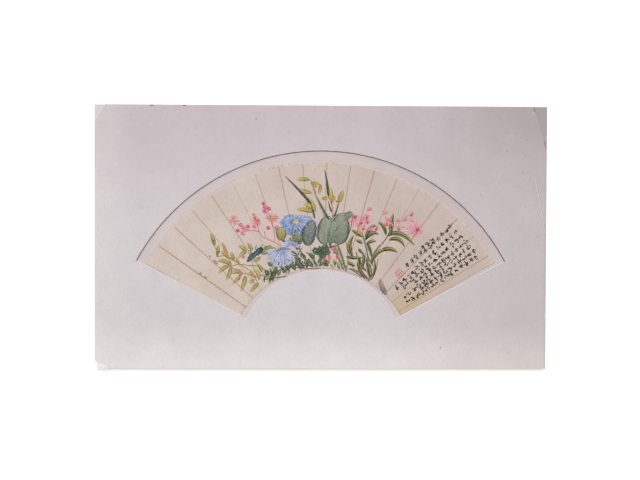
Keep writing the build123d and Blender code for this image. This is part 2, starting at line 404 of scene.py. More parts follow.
def strokes(paths, brush, root, tip, layer=1, bow=0.08, seed=1):
    """Brush strokes from paths of (u, v, u, v, width) or (u, v, u, v, u, v, width), in millimetres
    from the leaf's pivot. Where only the ends are given, the middle bows aside by a seeded part of
    the length. Where all three are, the curve's control point is set so that it passes the middle.
    Root and tip are display colours, and higher layers lie over lower ones."""
    luck = np.random.default_rng(seed)
    rows = []
    for p in paths:
        if len(p) == 7:
            u, v = 2 * p[2] - (p[0] + p[4]) / 2, 2 * p[3] - (p[1] + p[5]) / 2
            rows.append((p[0], p[1], u, v, p[4], p[5], p[6]))
        else:
            side = luck.uniform(-bow, bow) * 2
            u = (p[0] + p[2]) / 2 - side * (p[3] - p[1])
            v = (p[1] + p[3]) / 2 + side * (p[2] - p[0])
            rows.append((p[0], p[1], u, v, p[2], p[3], p[4]))
    rows = np.array(rows, float) / 1000.0
    vary = luck.uniform(0.88, 1.10, (len(rows), 1))
    return rows, brush, np.outer(vary, shade(*root)), np.outer(vary, shade(*tip)), layer


def painted(name, batches, ground=leaf_top, origin=(0.0, PIVOT_Y)):
    """One piece from batches of strokes. Along t each stroke follows its quadratic curve, and its
    half width is the width over two times (4q(1-q)) to a power, with q a power of t. Round the
    stroke the section is a low lens. Colour runs root to tip, darker at the sides."""
    t = (np.arange(STROKE_ROWS) + 0.5) / STROKE_ROWS
    s, rise = AROUND_STROKE, LIFT_STROKE
    points, tints = [], []
    for rows, brush, root, tip, layer in batches:
        skew, power, teeth = BRUSH[brush]
        a, b, c, width = rows[:, None, 0:2], rows[:, None, 2:4], rows[:, None, 4:6], rows[:, 6]
        along = t[None, :, None]
        line = a * (1 - along) ** 2 + 2 * b * along * (1 - along) + c * along ** 2
        way = 2 * (b - a) * (1 - along) + 2 * (c - b) * along
        way = way / np.maximum(np.linalg.norm(way, axis=-1, keepdims=True), 1e-9)
        aside = np.stack([-way[..., 1], way[..., 0]], -1)
        q = t ** skew
        wide = (4 * q * (1 - q)) ** power * (1 + teeth * np.where(np.arange(STROKE_ROWS) % 2, 1, -1))
        half = width[:, None] / 2 * wide[None, :]
        flat = line[:, :, None, :] + aside[:, :, None, :] * (half[:, :, None] * s)[..., None]
        ends = np.concatenate([a, c], 1)
        flat = np.concatenate([flat.reshape(len(rows), -1, 2), ends], 1) + np.array(origin)
        base = ground(flat[..., 0], flat[..., 1])
        lift = np.concatenate([np.tile(rise, STROKE_ROWS), [0.0, 0.0]])
        z = base + (layer * PAINT_STEP + lift[None, :] * PAINT_THICK)
        points.append(np.concatenate([flat, z[..., None]], -1))
        edge = 1 - SIDE_DARK * np.abs(s) ** 3 - FAR_SIDE_DARK * (s > 0.2)
        mix = root[:, None, :] * (1 - along) + tip[:, None, :] * along
        tint = mix[:, :, None, :] * edge[None, None, :, None]
        tint = tint.reshape(len(rows), -1, 3)
        tints.append(np.concatenate([tint, root[:, None] * END_DARK, tip[:, None] * END_DARK], 1))
    points, tints = np.concatenate(points), np.concatenate(tints)
    count, ring, per = len(points), len(s), points.shape[1]
    index = np.arange(STROKE_ROWS * ring).reshape(STROKE_ROWS, ring)
    after = np.roll(index, -1, axis=1)
    side = np.stack([index[:-1], after[:-1], after[1:], index[1:]], -1).reshape(-1, 4)
    first = np.stack([np.full(ring, per - 2), after[0], index[0]], -1)
    last = np.stack([np.full(ring, per - 1), index[-1], after[-1]], -1)
    offset = (np.arange(count) * per)[:, None, None]
    caps = np.concatenate([first, last])
    faces = [(part[None] + offset).reshape(-1, part.shape[1]) for part in (side, caps)]
    made = body(name, points.reshape(-1, 3), faces)
    pigment = made.data.color_attributes.new("pigment", "FLOAT_COLOR", "POINT")
    full = np.concatenate([tints.reshape(-1, 3), np.ones((count * per, 1))], 1)
    pigment.data.foreach_set("color", full.ravel())
    cells = int(np.ceil(np.sqrt(count)))
    number = np.arange(count)
    spot = np.stack(np.meshgrid(t, AROUND_MAP, indexing="ij"), -1).reshape(-1, 2)
    spot = 0.04 + 0.92 * np.concatenate([spot, [[0.02, 0.5], [0.98, 0.5]]])
    home = np.stack([number % cells, number // cells], -1)[:, None, :]
    spread = ((home + spot[None]) / cells).reshape(-1, 2)
    corner = np.empty(len(made.data.loops), int)
    made.data.loops.foreach_get("vertex_index", corner)
    made.data.uv_layers.new(name="OFBake").data.foreach_set("uv", spread[corner].ravel())
    return made


PAINT_ROUGHNESS, PAINT_SHEEN, PAINT_GRAIN = 0.88, 0.2, 0.00004


def water_colour(name, grain, thin, folded=True):
    """Opaque water colour: the stroke's own pigment, grains of it settled in the paper's tooth, thin
    places where the paper's buff shows, and brown loss along the folds where it lies on the leaf."""
    made = bpy.data.materials.new(name)
    made.use_nodes = True
    tree = made.node_tree
    shader = tree.nodes["Principled BSDF"]
    place = wire(tree, "TexCoord").outputs["Object"]
    pigment = wire(tree, "Attribute", attribute_name="pigment").outputs[0]
    settled = wire(tree, "TexNoise", place, None, 1500.0, 3.0, 0.7).outputs[0]
    grains = ramp(tree, settled, 0.35, 0.7, 0.0, grain)
    colour = mixed(tree, grains, pigment, (0.74, 0.74, 0.74), "MULTIPLY")
    worn = wire(tree, "TexNoise", place, None, 330.0, 5.0, 0.7).outputs[0]
    colour = mixed(tree, ramp(tree, worn, 0.47, 0.68, 0.0, thin), colour, shade(205, 188, 177))
    tree.links.new(colour, shader.inputs["Base Color"])
    if folded:
        off, darkness, _, _ = fold_marks(tree, place)
        lost = sums(tree, "MULTIPLY", ramp(tree, off, 0.0009, 0.0003, 0.0, 0.75), darkness)
        lay_over(tree, shader, lost, shade(138, 110, 90))
    shader.inputs["Roughness"].default_value = PAINT_ROUGHNESS
    shader.inputs["Specular IOR Level"].default_value = PAINT_SHEEN
    bump = wire(tree, "Bump", 0.4, PAINT_GRAIN, None, settled)
    tree.links.new(bump.outputs[0], shader.inputs["Normal"])
    return made


def finish_paint(made, material, ride="backing"):
    """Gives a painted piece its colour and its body."""
    made.data.materials.append(material)
    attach(made, ride)


def on_leaf(name, colour, grain, thin, batches):
    """A piece painted on the leaf, in a water colour of that name, grain and thinness."""
    finish_paint(painted(name, batches), water_colour(colour, grain, thin))


OCHRE, TWIG, PINK_STALK = (178, 160, 84), (112, 84, 62), (226, 152, 140)
ochre_stems = [
    (-50, 122, -74, 120, -92, 126, 1.7), (-76, 120, -86, 134, -108, 137, 1.6),
    (-104, 136, -116, 139, -130, 136, 1.5), (-100, 128, -120, 140, -137, 150, 1.5),
    (-128, 146, -140, 151, -152, 149, 1.4), (-92, 112, -100, 122, -112, 126, 1.3),
    (-152, 150, -152, 158, -156, 168, 1.1), (-112, 124, -120, 130, -134, 134, 1.3),
    (-96, 126, -102, 146, -106, 160, 1.2), (-17, 262, -12, 254, -8, 240, 1.3),
    (12, 232, 16, 222, 16, 208, 1.4), (25, 230, 23, 220, 16, 208, 1.4),
    (-15, 258, -8, 238, 0, 218, 1.3), (0, 218, 8, 200, 20, 172, 1.3),
    (20, 170, 26, 152, 30, 132, 1.6), (34, 178, 38, 158, 38, 140, 1.8)]
green_stems = [
    (18, 168, 25, 150, 33, 131, 3.2), (23, 170, 30, 150, 37, 129, 3.0),
    (58, 184, 66, 160, 71, 116, 2.2), (76, 136, 74, 150, 87, 169, 2.0),
    (87, 169, 97, 182, 102, 200, 1.9), (60, 186, 68, 152, 76, 137, 1.5),
    (57, 134, 54, 146, 50, 158, 1.8), (46, 134, 60, 124, 70, 117, 1.6),
    (72, 116, 76, 128, 80, 136, 1.5)]
pale_stems = [(20, 168, 27, 150, 34, 131, 0.9), (25, 169, 32, 150, 37, 131, 0.8)]
woody_twigs = [
    (72, 117, 62, 126, 56, 140, 1.3), (71, 117, 70, 134, 64, 152, 1.2),
    (73, 117, 80, 132, 82, 148, 1.2), (66, 119, 54, 128, 40, 134, 1.1),
    (57, 136, 62, 124, 71, 115, 2.0), (70, 140, 73, 130, 72, 120, 2.0),
    (40, 133, 50, 128, 60, 120, 1.6), (-85, 117, -68, 119, -50, 122, 1.5),
    (-40, 135, -20, 133, 0, 134, 1.4)]
pink_stalks = [
    (-58, 165, -68, 171, -81, 177, 1.6), (-81, 177, -88, 182, -92, 194, 1.4),
    (-81, 177, -82, 182, -83, 188, 1.2), (-88, 184, -98, 188, -114, 186, 1.3),
    (-98, 188, -110, 190, -124, 200, 1.1), (-68, 172, -69, 188, -74, 203, 1.3),
    (-74, 203, -78, 210, -82, 222, 1.1), (-92, 192, -95, 200, -97, 208, 1.0),
    (-69, 184, -66, 190, -64, 194, 1.0), (75, 138, 80, 156, 92, 172, 1.3),
    (100, 190, 112, 194, 138, 190, 1.2), (60, 184, 62, 194, 68, 208, 1.2),
    (98, 190, 96, 200, 92, 210, 1.1), (56, 186, 53, 196, 49, 206, 1.2),
    (104, 194, 114, 202, 128, 212, 1.0)]
on_leaf("painted_stems", "stem_colour", 0.4, 0.35, [
    strokes(ochre_stems, "stem", OCHRE, (160, 138, 76), 1, seed=3),
    strokes(green_stems, "stem", (122, 138, 88), (92, 116, 76), 1, seed=6),
    strokes(pale_stems, "stem", (206, 206, 184), (176, 186, 156), 3, seed=7),
    strokes(woody_twigs, "stem", TWIG, (134, 100, 72), 2, seed=4),
    strokes(pink_stalks, "stem", PINK_STALK, (222, 130, 130), 2, seed=5)])

# ---- Stains on the leaf -------------------------------------------------------------------------
# Brown blots where water has run down two of the folds, and a broken line of ochre specks by the
# rim, left by the paste of a lost paper edging.
blots = [
    (-174, 124, -177, 126, 5.0), (-170, 121, -166, 118, 2.4), (-156, 145, -150, 139, 3.2),
    (-160, 149, -163, 152, 2.0)]
speck_luck = np.random.default_rng(9)
speck_turn = np.concatenate([speck_luck.uniform(78, 108, 26), speck_luck.uniform(36, 70, 12)])
speck_turn = np.radians(speck_turn)
speck_out = speck_luck.uniform(286.5, 288.8, len(speck_turn))
speck_long = speck_luck.uniform(0.8, 3.6, len(speck_turn)) / 290.0
speck_ends = [f(speck_turn + side * speck_long) * speck_out for side in (-0.5, 0.5)
              for f in (np.cos, np.sin)]
specks = np.stack(speck_ends + [speck_luck.uniform(0.6, 1.3, len(speck_turn))], 1).tolist()
on_leaf("leaf_stains", "stain_colour", 0.3, 0.8, [
    strokes(blots, "dab", (168, 122, 84), (190, 150, 112), 0, seed=8),
    strokes(specks, "dab", (206, 172, 128), (212, 184, 146), 0, seed=10)])

# ---- Painting: olive leaves at the left ---------------------------------------------------------
# A spray of narrow olive and yellow leaves on ochre stalks, a few turned brown, with red berries.
OLIVE, YELLOW_OLIVE, RUST = (160, 148, 74), (206, 190, 110), (204, 150, 92)
left_spray = [
    (-155, 165, -161, 184, 6), (-151, 150, -149, 168, 5.5), (-126, 145, -131, 158, 5),
    (-133, 146, -147, 158, 5.5), (-133, 138, -141, 144, -151, 143, 5.5),
    (-133, 137, -142, 133, -149, 125, 6), (-131, 135, -133, 126, -138, 115, 6),
    (-131, 138, -134, 143, -139, 140, 4), (-116, 126, -122, 129, -130, 125, 6),
    (-117, 121, -122, 117, -129, 110, 5.5), (-110, 123, -112, 112, -117, 99, 6.5),
    (-98, 122, -102, 126, -107, 124, 5), (-98, 118, -101, 114, -106, 114, 5),
    (-91, 112, -97, 106, -104, 98, 6), (-90, 116, -92, 126, -98, 133, 5.5), (-86, 128, -92, 140, 5),
    (-109, 157, -114, 163, -121, 166, 5.5), (-101, 158, -103, 164, -108, 171, 5.5),
    (-108, 157, -114, 155, -121, 147, 5.5), (-88, 150, -100, 143, 5)]


def midribs(paths, part=0.82, width=0.5):
    """A fine line up the middle of each leaf, to a part of its length."""
    return [(p[0], p[1], p[0] + (p[-3] - p[0]) * part, p[1] + (p[-2] - p[1]) * part, width)
            for p in paths]


berries = [(-131, 137), (-118, 123), (-115, 125), (-97, 121), (-113, 150)]
dry_berries = [(-156, 173), (-149, 157)]


def dots(centres, size):
    """Short round touches, size across, at each centre."""
    return [(u - size / 2, v - size / 4, u + size / 2, v + size / 4, size) for u, v in centres]


def petals(u, v, count, inner, right, left, up, down, width, start=0.0, end=360.0, seed=1):
    """Petal paths round a centre. Petal k lies at an angle spread evenly from start to end with a
    little luck, and ends on an oval whose four half widths are right, left, up and down."""
    luck = np.random.default_rng(seed)
    step = np.arange(count) + luck.uniform(-0.2, 0.2, count)
    angle = np.radians(start + (end - start) * step / count)
    c, s = np.cos(angle), np.sin(angle)
    reach = luck.uniform(0.84, 1.0, count)
    far_u = u + c * np.where(c > 0, right, left) * reach
    far_v = v + s * np.where(s > 0, up, down) * reach
    near_u, near_v = u + inner * c, v + inner * 0.7 * s
    return np.stack([near_u, near_v, far_u, far_v, np.full(count, width)], 1).tolist()


def several(make, rows, seed):
    """The paths that make gives for each row of its values, seeded one after another."""
    return sum((make(*row, seed=seed + k) for k, row in enumerate(rows)), [])


bloom_places = [(-131, 136), (-118, 123), (-96, 121), (-113, 150)]
berry_blooms = several(petals, [(u, v, 7, 0.3, 3.8, 3.8, 3.4, 3.4, 1.7) for u, v in bloom_places], 15)
on_leaf("painted_olive_leaves", "olive_colour", 0.5, 0.3, [
    strokes(left_spray, "leaf", OLIVE, YELLOW_OLIVE, 2, seed=11),
    strokes([(-137, 150, -144, 171, 5), (-118, 140, -124, 150, 3.5)], "leaf", RUST, (216, 176, 112), 3,
            seed=12),
    strokes(midribs(left_spray), "stem", (104, 98, 46), (136, 126, 64), 5, 0.02, seed=11),
    strokes(berry_blooms, "petal", (212, 66, 56), (240, 204, 190), 7, seed=19),
    strokes(dots(berries, 2.4), "dab", (214, 62, 52), (228, 96, 72), 9, seed=13),
    strokes(dots(dry_berries, 2.6), "dab", (128, 84, 62), (140, 96, 70), 6, seed=14)])

# ---- Painting: beetle ---------------------------------------------------------------------------
# A plain dark blue-green beetle of no particular kind, with six legs and two feelers.
legs = [
    (-92, 158, -91, 151, 0.9), (-97, 153, -99, 146, 0.9), (-102, 149, -107, 150, 0.9),
    (-90, 163, -85, 168, 0.9), (-96, 160, -94, 167, 0.9), (-101, 154, -103, 160, 0.9),
    (-85, 162, -78, 161, 0.6), (-85, 163, -80, 166, 0.6)]
on_leaf("painted_beetle", "beetle_colour", 0.4, 0.15, [
    strokes(legs, "stem", (52, 58, 56), (70, 74, 70), 3, seed=21),
    strokes([(-85, 163, -98, 151, 8.5), (-93, 156, -108, 142, 8)], "toothed", (30, 58, 72),
            (66, 106, 106), 4, seed=22),
    strokes([(-89, 161, -105, 146, 0.8), (-90, 158, -103, 145, 0.6)], "stem", (126, 168, 154),
            (104, 146, 134), 7, 0.03, seed=23)])

# ---- Painting: round leaves and yellow flower ---------------------------------------------------
# Blunt olive leaves under the blue flowers, with one small yellow flower among them.
round_leaves = [
    (-56, 174, -58, 194, 15), (-74, 152, -71, 165, 11), (-88, 155, -76, 159, 8),
    (-83, 161, -71, 165, 7)]
on_leaf("painted_round_leaves", "round_leaf_colour", 0.5, 0.3, [
    strokes(round_leaves, "dab", (150, 142, 82), (186, 176, 116), 2, seed=31),
    strokes(midribs(round_leaves, 0.9), "stem", (92, 92, 62), (104, 102, 70), 5, 0.02, seed=31),
    strokes(petals(-62, 163, 6, 0.8, 4, 4, 4, 4, 3.0, seed=32), "petal", (226, 190, 66),
            (242, 216, 110), 6)])

# ---- Painting: dark serrated leaves -------------------------------------------------------------
# The thick dark green foliage at the foot of the group, toothed leaves set by turns up short stems.
NECK_SLACK = 0.5
NECK_REACH = 1000 * (LEAF_RADIUS - LEAF_BAND) + NECK_SLACK


def foliage(u0, v0, u1, v1, count, length, width, spread=52.0, seed=1):
    """Leaf paths up a straight stem. Leaf k starts at an even step along it, and leans from the
    stem's own direction by spread degrees, left and right by turns, with a little luck in each.
    One that would lie past the neck of the fan leaf is left out."""
    luck = np.random.default_rng(seed)
    k = np.arange(count)
    t = (k + 0.6) / count
    u, v = u0 + (u1 - u0) * t, v0 + (v1 - v0) * t
    lean = np.radians(spread) * np.where(k % 2, 1, -1) * luck.uniform(0.7, 1.2, count)
    lean = math.atan2(v1 - v0, u1 - u0) + lean
    far = length * luck.uniform(0.75, 1.1, count) * (1 - 0.25 * t)
    tip_u, tip_v = u + far * np.cos(lean), v + far * np.sin(lean)
    paths = np.stack([u, v, tip_u, tip_v, width * luck.uniform(0.8, 1.1, count)], 1)
    inside = np.minimum(np.hypot(u, v), np.hypot(tip_u, tip_v)) > NECK_REACH
    return paths[inside].tolist()


DEEP_GREEN, GREEN = (38, 60, 44), (98, 122, 92)
dark_leaves = several(foliage, [
    (-8, 137, -78, 124, 11, 13, 6), (-12, 137, -74, 136, 9, 15, 6), (-6, 146, -52, 150, 7, 14, 6),
    (-36, 158, -38, 186, 7, 12, 5.5), (2, 150, 4, 136, 5, 11, 5)], 41)
thin_leaves = several(foliage, [
    (-2, 137, -84, 121, 20, 15, 3.2, 74), (-12, 149, -58, 135, 11, 13, 3.2, 66),
    (-4, 152, 14, 166, 10, 11, 4.4, 70), (-66, 131, -72, 118, 6, 9, 3.4, 40)], 62)
dark_twigs = [
    (-4, 135, -44, 136, -84, 119, 1.2), (-26, 136, -34, 150, -27, 164, 1.2),
    (-27, 152, -31, 160, -44, 180, 1.3), (-69, 128, -73, 121, -73, 114, 1.3),
    (-12, 150, -4, 158, 4, 160, 1.1), (-50, 138, -58, 130, -64, 120, 1.1)]
aster_leaves = [
    (-33, 168, -37, 176, -45, 184, 5.5), (-32, 169, -36, 178, -35, 188, 5.5),
    (-31, 168, -29, 178, -30, 187, 5), (-35, 171, -42, 174, -49, 174, 4.5),
    (-52, 172, -56, 176, -53, 184, 4.5)]
light_leaves = several(foliage, [
    (-10, 137, -76, 129, 10, 12, 4.5, 60), (0, 137, 30, 143, 6, 10, 4, 60)], 47)
low_bits = foliage(0, 137, 46, 139, 9, 9, 3.4, 55, seed=49)
on_leaf("painted_dark_leaves", "dark_leaf_colour", 0.55, 0.28, [
    strokes(light_leaves, "leaf", (150, 152, 86), (198, 196, 136), 1, seed=50),
    strokes(low_bits, "leaf", (70, 78, 48), (138, 136, 80), 3, seed=51),
    strokes(dark_leaves, "toothed", DEEP_GREEN, GREEN, 2, seed=46),
    strokes(thin_leaves, "leaf", (44, 64, 48), (112, 132, 98), 3, 0.16, seed=66),
    strokes(dark_twigs, "stem", (52, 60, 42), (74, 82, 58), 5, seed=67),
    strokes(aster_leaves, "leaf", (70, 86, 56), (156, 164, 110), 10, 0.1, seed=68),
    strokes(midribs(dark_leaves), "stem", (160, 176, 146), (132, 154, 124), 4, 0.02, seed=46)])

# ---- Painting: grey-green heart leaves ----------------------------------------------------------
# Broad soft leaves behind the blades, each lobe washed in one grey-green with darker veins.
GREY_GREEN, BLUE_GREEN = (122, 136, 118), (98, 114, 114)
lobes = [
    (4, 168, 5, 188, 9, 209, 22), (26, 168, 27, 190, 30, 212, 28), (14, 170, 16, 186, 20, 202, 20),
    (30, 200, 38, 210, 45, 214, 9)]
oval = [(-19, 166, -18, 184, -12, 203, 20)]
lobe_edges = [
    (4, 168, -8, 186, 6, 209, 1.0), (6, 209, 13, 208, 15, 203, 0.9),
    (15, 203, 24, 212, 45, 214, 1.0), (45, 214, 40, 184, 24, 168, 1.0),
    (4, 168, 14, 164, 24, 168, 0.9)]
oval_edges = [(-19, 166, -29, 186, -12, 203, 0.9), (-12, 203, -8, 184, -19, 166, 0.9)]
veins = [
    (16, 168, 20, 188, 44, 213, 0.9), (16, 170, 10, 188, 6, 204, 0.8),
    (17, 178, 26, 182, 36, 184, 0.7), (19, 188, 28, 192, 39, 196, 0.7),
    (13, 182, 5, 182, -2, 186, 0.6), (11, 192, 6, 194, 2, 198, 0.6),
    (22, 176, 28, 174, 33, 174, 0.6), (-19, 168, -18, 186, -13, 201, 0.8),
    (-18, 178, -23, 184, -25, 190, 0.6), (-17, 184, -12, 188, -10, 194, 0.6),
    (-19, 174, -14, 178, -11, 182, 0.6)]
on_leaf("painted_heart_leaves", "heart_leaf_colour", 0.6, 0.3, [
    strokes(oval, "dab", BLUE_GREEN, (132, 146, 142), 11, seed=52),
    strokes(lobes, "dab", GREY_GREEN, (156, 166, 144), 11, seed=51),
    strokes([(1, 171, 0, 184, 5, 197, 10)], "dab", (156, 150, 146), (160, 160, 148), 12, seed=55),
    strokes(lobe_edges + oval_edges, "stem", (72, 88, 74), (86, 104, 86), 13, seed=54),
    strokes(veins, "stem", (84, 102, 84), (104, 120, 102), 13, 0.02, seed=53)])

# ---- Painting: grass blades ---------------------------------------------------------------------
# Long dark blades that stand up over the heart leaves, each one pull of a loaded brush.
blades = [
    (-14, 226, -32, 246, -54, 268, 3.8), (10, 238, 8, 258, 4, 278, 3.6),
    (11, 204, 3, 218, -7, 238, 3.4), (15, 215, 12, 223, 10, 232, 2.4),
    (-10, 206, -12, 216, -16, 228, 2.6), (18, 208, 22, 218, 24, 230, 2.2)]
on_leaf("painted_blades", "blade_colour", 0.5, 0.2, [
    strokes(blades, "blade", (36, 72, 56), (86, 118, 84), 14, seed=61)])

# ---- Painting: olive leaves at the top ----------------------------------------------------------
# Yellow-olive leaves set in pairs on the tall ochre stalks, with small red buds where they join.
top_leaves = [
    (-17, 262, -37, 262, 6), (-16, 257, -2, 256, 5.5), (-14, 243, -34, 249, 6),
    (-8, 218, -22, 238, 8), (-10, 215, -36, 219, 6.5), (-8, 216, -26, 227, 6),
    (14, 232, 11, 253, 8), (14, 230, 20, 240, 5), (25, 228, 32, 248, 7), (0, 235, 10, 237, 5),
    (-2, 256, -4, 241, 5)]
on_leaf("painted_top_leaves", "top_leaf_colour", 0.45, 0.25, [
    strokes(top_leaves, "leaf", (176, 156, 76), (216, 196, 110), 6, seed=71),
    strokes(midribs(top_leaves), "stem", (118, 110, 48), (144, 134, 66), 8, 0.02, seed=71),
    strokes(dots([(-8, 252), (-14, 223), (15, 229), (22, 231)], 2.6), "dab", (214, 62, 60),
            (228, 92, 80), 9, seed=72)])

# ---- Painting: blue asters ----------------------------------------------------------------------
# The chief flowers: one aster seen open with a yellow eye, one from the side, and a small one
# turned away between them.
BLUE, LILAC = (84, 124, 186), (196, 206, 234)
open_back = petals(-37, 200, 32, 4, 31, 26, 13, 23, 3.3, seed=81)
open_front = petals(-37, 202, 23, 4, 23, 19, 9, 15, 2.6, start=8, end=368, seed=82)
side_petals = petals(-56, 158, 30, 3, 20, 27, 6, 26, 2.5, start=168, end=354, seed=83)
side_front = petals(-57, 161, 15, 3, 20, 22, 8, 19, 2.7, start=184, end=346, seed=91)
turned_away = petals(-44, 167, 14, 1, 15, 12, 11, 6, 3.4, start=-30, end=205, seed=88)
on_leaf("painted_asters", "aster_colour", 0.45, 0.22, [
    strokes(open_back, "petal", BLUE, (142, 172, 218), 7, seed=84),
    strokes(open_front, "petal", (104, 142, 200), LILAC, 9, seed=85),
    strokes(side_petals, "petal", (116, 142, 196), (204, 204, 228), 7, seed=86),
    strokes(side_front, "petal", (140, 160, 206), (216, 214, 232), 9, seed=92),
    strokes([(-66, 157, -56, 162, -44, 160, 3.6)], "dab", (96, 132, 192), (120, 152, 206), 10, seed=87),
    strokes(turned_away, "petal", (110, 142, 202), LILAC, 9),
    strokes(petals(-37, 203, 12, 0.4, 4.0, 4.0, 2.8, 2.8, 1.7, seed=89), "dab", (196, 172, 62),
            (226, 204, 96), 12, seed=90)])

# ---- Painting: small pink flowers ---------------------------------------------------------------
# Pink buds and small loose blossoms on the left and in the middle, pale with deeper hearts, and a
# rosette of dark leaves under the middle ones.
ROSE, PALE_ROSE = (232, 112, 134), (242, 188, 196)
buds = [
    (-84, 227), (-82, 222), (-82, 216), (-76, 220), (-92, 203), (-92, 199), (-96, 206), (-97, 194),
    (-106, 194), (-117, 196), (-121, 188), (-114, 184), (-77, 192), (-65, 193), (20, 157),
    (17, 163), (5, 147), (12, 149), (24, 150)]
small_blooms = several(petals, [
    (-72, 206, 8, 1.0, 12, 11, 8, 8, 3.4), (-127, 203, 8, 0.8, 9, 8, 9, 9, 2.8),
    (-94, 200, 8, 0.6, 7, 7, 9, 8, 3.4)], 101) + several(petals, [
        (-112, 191, 7, 0.6, 7, 7, 6, 6, 2.8), (-81, 219, 7, 0.6, 6, 6, 8, 7, 3.0)], 111)
rosette = several(petals, [
    (2, 158, 12, 1.5, 12, 12, 11, 11, 5.0), (-9, 159, 6, 1, 6, 6, 6, 6, 3.4)], 104)
on_leaf("painted_small_blossoms", "blossom_colour", 0.35, 0.28, [
    strokes(rosette, "leaf", DEEP_GREEN, GREEN, 4, seed=106),
    strokes(small_blooms, "petal", ROSE, PALE_ROSE, 5, seed=107),
    strokes(dots(buds, 5.4), "dab", (226, 78, 112), (244, 152, 170), 6, seed=108),
    strokes(dots(buds[::2], 2.2), "dab", (180, 36, 66), (206, 64, 88), 8, seed=109),
    strokes(dots([(-72, 206), (-98, 211), (-127, 203)], 4.4), "dab", (226, 152, 62),
            (238, 182, 84), 9, seed=110)])

# ---- Painting: branch at the right --------------------------------------------------------------
# A leafy branch leaning right, olive leaves with dark undersides and pink flowers at its ends.
branch_leaves = [
    (60, 180, 44, 190, 6), (46, 150, 41, 166, 47, 182, 7), (60, 170, 50, 175, 5),
    (64, 175, 70, 190, 79, 197, 6), (65, 176, 74, 185, 83, 183, 6), (66, 170, 73, 173, 79, 174, 5),
    (94, 182, 90, 195, 82, 201, 6), (102, 183, 102, 199, 105, 214, 7),
    (96, 181, 115, 184, 135, 168, 7), (98, 175, 112, 176, 121, 165, 6.5),
    (73, 140, 80, 155, 95, 161, 7), (86, 159, 99, 162, 111, 157, 7), (66, 172, 71, 160, 73, 150, 5),
    (64, 119, 56, 130, 52, 143, 4), (70, 121, 68, 134, 65, 147, 4.5),
    (75, 122, 78, 134, 77, 147, 3.6), (60, 136, 62, 147, 60, 158, 4.6),
    (66, 130, 58, 139, 56, 151, 4), (36, 151, 48, 149, 60, 150, 5), (38, 141, 49, 138, 5),
    (54, 162, 60, 155, 4.5), (55, 148, 55, 132, 5)]
branch_edges = [tuple(c + d for c, d in zip(p[:-1], (0.4, -1.0) * 3)) + (1.4,) for p in branch_leaves]
right_buds = [
    (58, 199), (61, 203), (67, 200), (70, 217), (66, 207), (55, 194), (61, 190), (72, 188),
    (80, 190), (93, 212), (95, 197), (98, 202), (100, 196), (111, 201), (113, 190), (122, 202),
    (131, 211), (131, 201)]
on_leaf("painted_branch_leaves", "branch_leaf_colour", 0.5, 0.28, [
    strokes(branch_leaves, "leaf", (98, 114, 60), (178, 176, 104), 3, seed=121),
    strokes([(62, 180, 52, 190, 5)], "leaf", RUST, (214, 178, 100), 4, seed=122),
    strokes(branch_edges, "stem", (34, 44, 30), (50, 60, 38), 6, 0.02, seed=121)])
large_blooms = several(petals, [
    (47, 206, 9, 1.2, 10, 10, 9, 14, 3.6), (139, 190, 15, 1.2, 10, 21, 15, 14, 2.8)], 123)
tufts = several(petals, [(u, v, 5, 0.4, 5, 5, 7, 4, 2.2, 20, 200) for u, v in right_buds], 130)
on_leaf("painted_branch_blossoms", "branch_blossom_colour", 0.35, 0.26, [
    strokes(large_blooms, "petal", (232, 128, 150), (246, 194, 204), 6, seed=125),
    strokes(tufts, "petal", (230, 104, 132), (244, 176, 188), 6, seed=126),
    strokes(dots(right_buds[::2], 3.0), "dab", (204, 52, 82), (222, 84, 108), 8, seed=127),
    strokes(dots([(49, 208), (140, 190)], 4.6), "dab", (210, 52, 84), (226, 84, 110), 9, seed=128)])

# ---- Painting: brush dabs in columns, red stamp and feathery wash -------------------------------
# Columns of small abstract dabs, which spell nothing, beside the branch, a plain red stamped square
# with a lattice, and a grey feathery touch by the neck.
COLUMN_TURNS = (47.6, 46.2, 43.7, 41.4, 39.3, 37.4, 35.5, 33.7)
COLUMN_HEADS = (238.0, 271.0, 270.0, 271.0, 272.0, 271.0, 273.0, 271.0)
COLUMN_FEET = (180.0, 220.0, 150.0, 160.0, 172.0, 148.0, 180.0, 152.0)
DAB_PITCH, DAB_CELL = 8.4, 2.7


def dab_columns(turns, heads, feet, seed=1):
    """Dabs down each column: at every pitch inward from head to foot, five to eight short strokes
    at chance angles, within a cell's half width of the place on the column."""
    luck = np.random.default_rng(seed)
    paths = []
    for turned, head, foot in zip(turns, heads, feet):
        out = np.arange(head, foot, -DAB_PITCH)
        each = luck.integers(5, 9, len(out))
        out = np.repeat(out, each)
        u = out * math.cos(math.radians(turned)) + luck.uniform(-DAB_CELL, DAB_CELL, len(out))
        v = out * math.sin(math.radians(turned)) + luck.uniform(-DAB_CELL, DAB_CELL, len(out))
        angle = luck.choice([0.1, 1.5, 0.8, 2.4], len(out)) + luck.normal(0, 0.2, len(out)) - 0.7
        long = luck.uniform(1.0, 2.4, len(out))
        paths += np.stack([u - np.cos(angle) * long, v - np.sin(angle) * long, u + np.cos(angle) * long,
                           v + np.sin(angle) * long, luck.uniform(0.9, 1.6, len(out))], 1).tolist()
    return paths


INK = (20, 16, 16)
columns = dab_columns(COLUMN_TURNS, COLUMN_HEADS, COLUMN_FEET, seed=131)
on_leaf("painted_dab_columns", "ink", 0.2, 0.18, [
    strokes(columns, "stem", INK, (40, 34, 32), 2, seed=132)])
STAMP_U, STAMP_V, STAMP_HALF, STAMP_TURN = 114.0, 126.0, 5.2, math.radians(48)
STAMP_LINE = 0.95


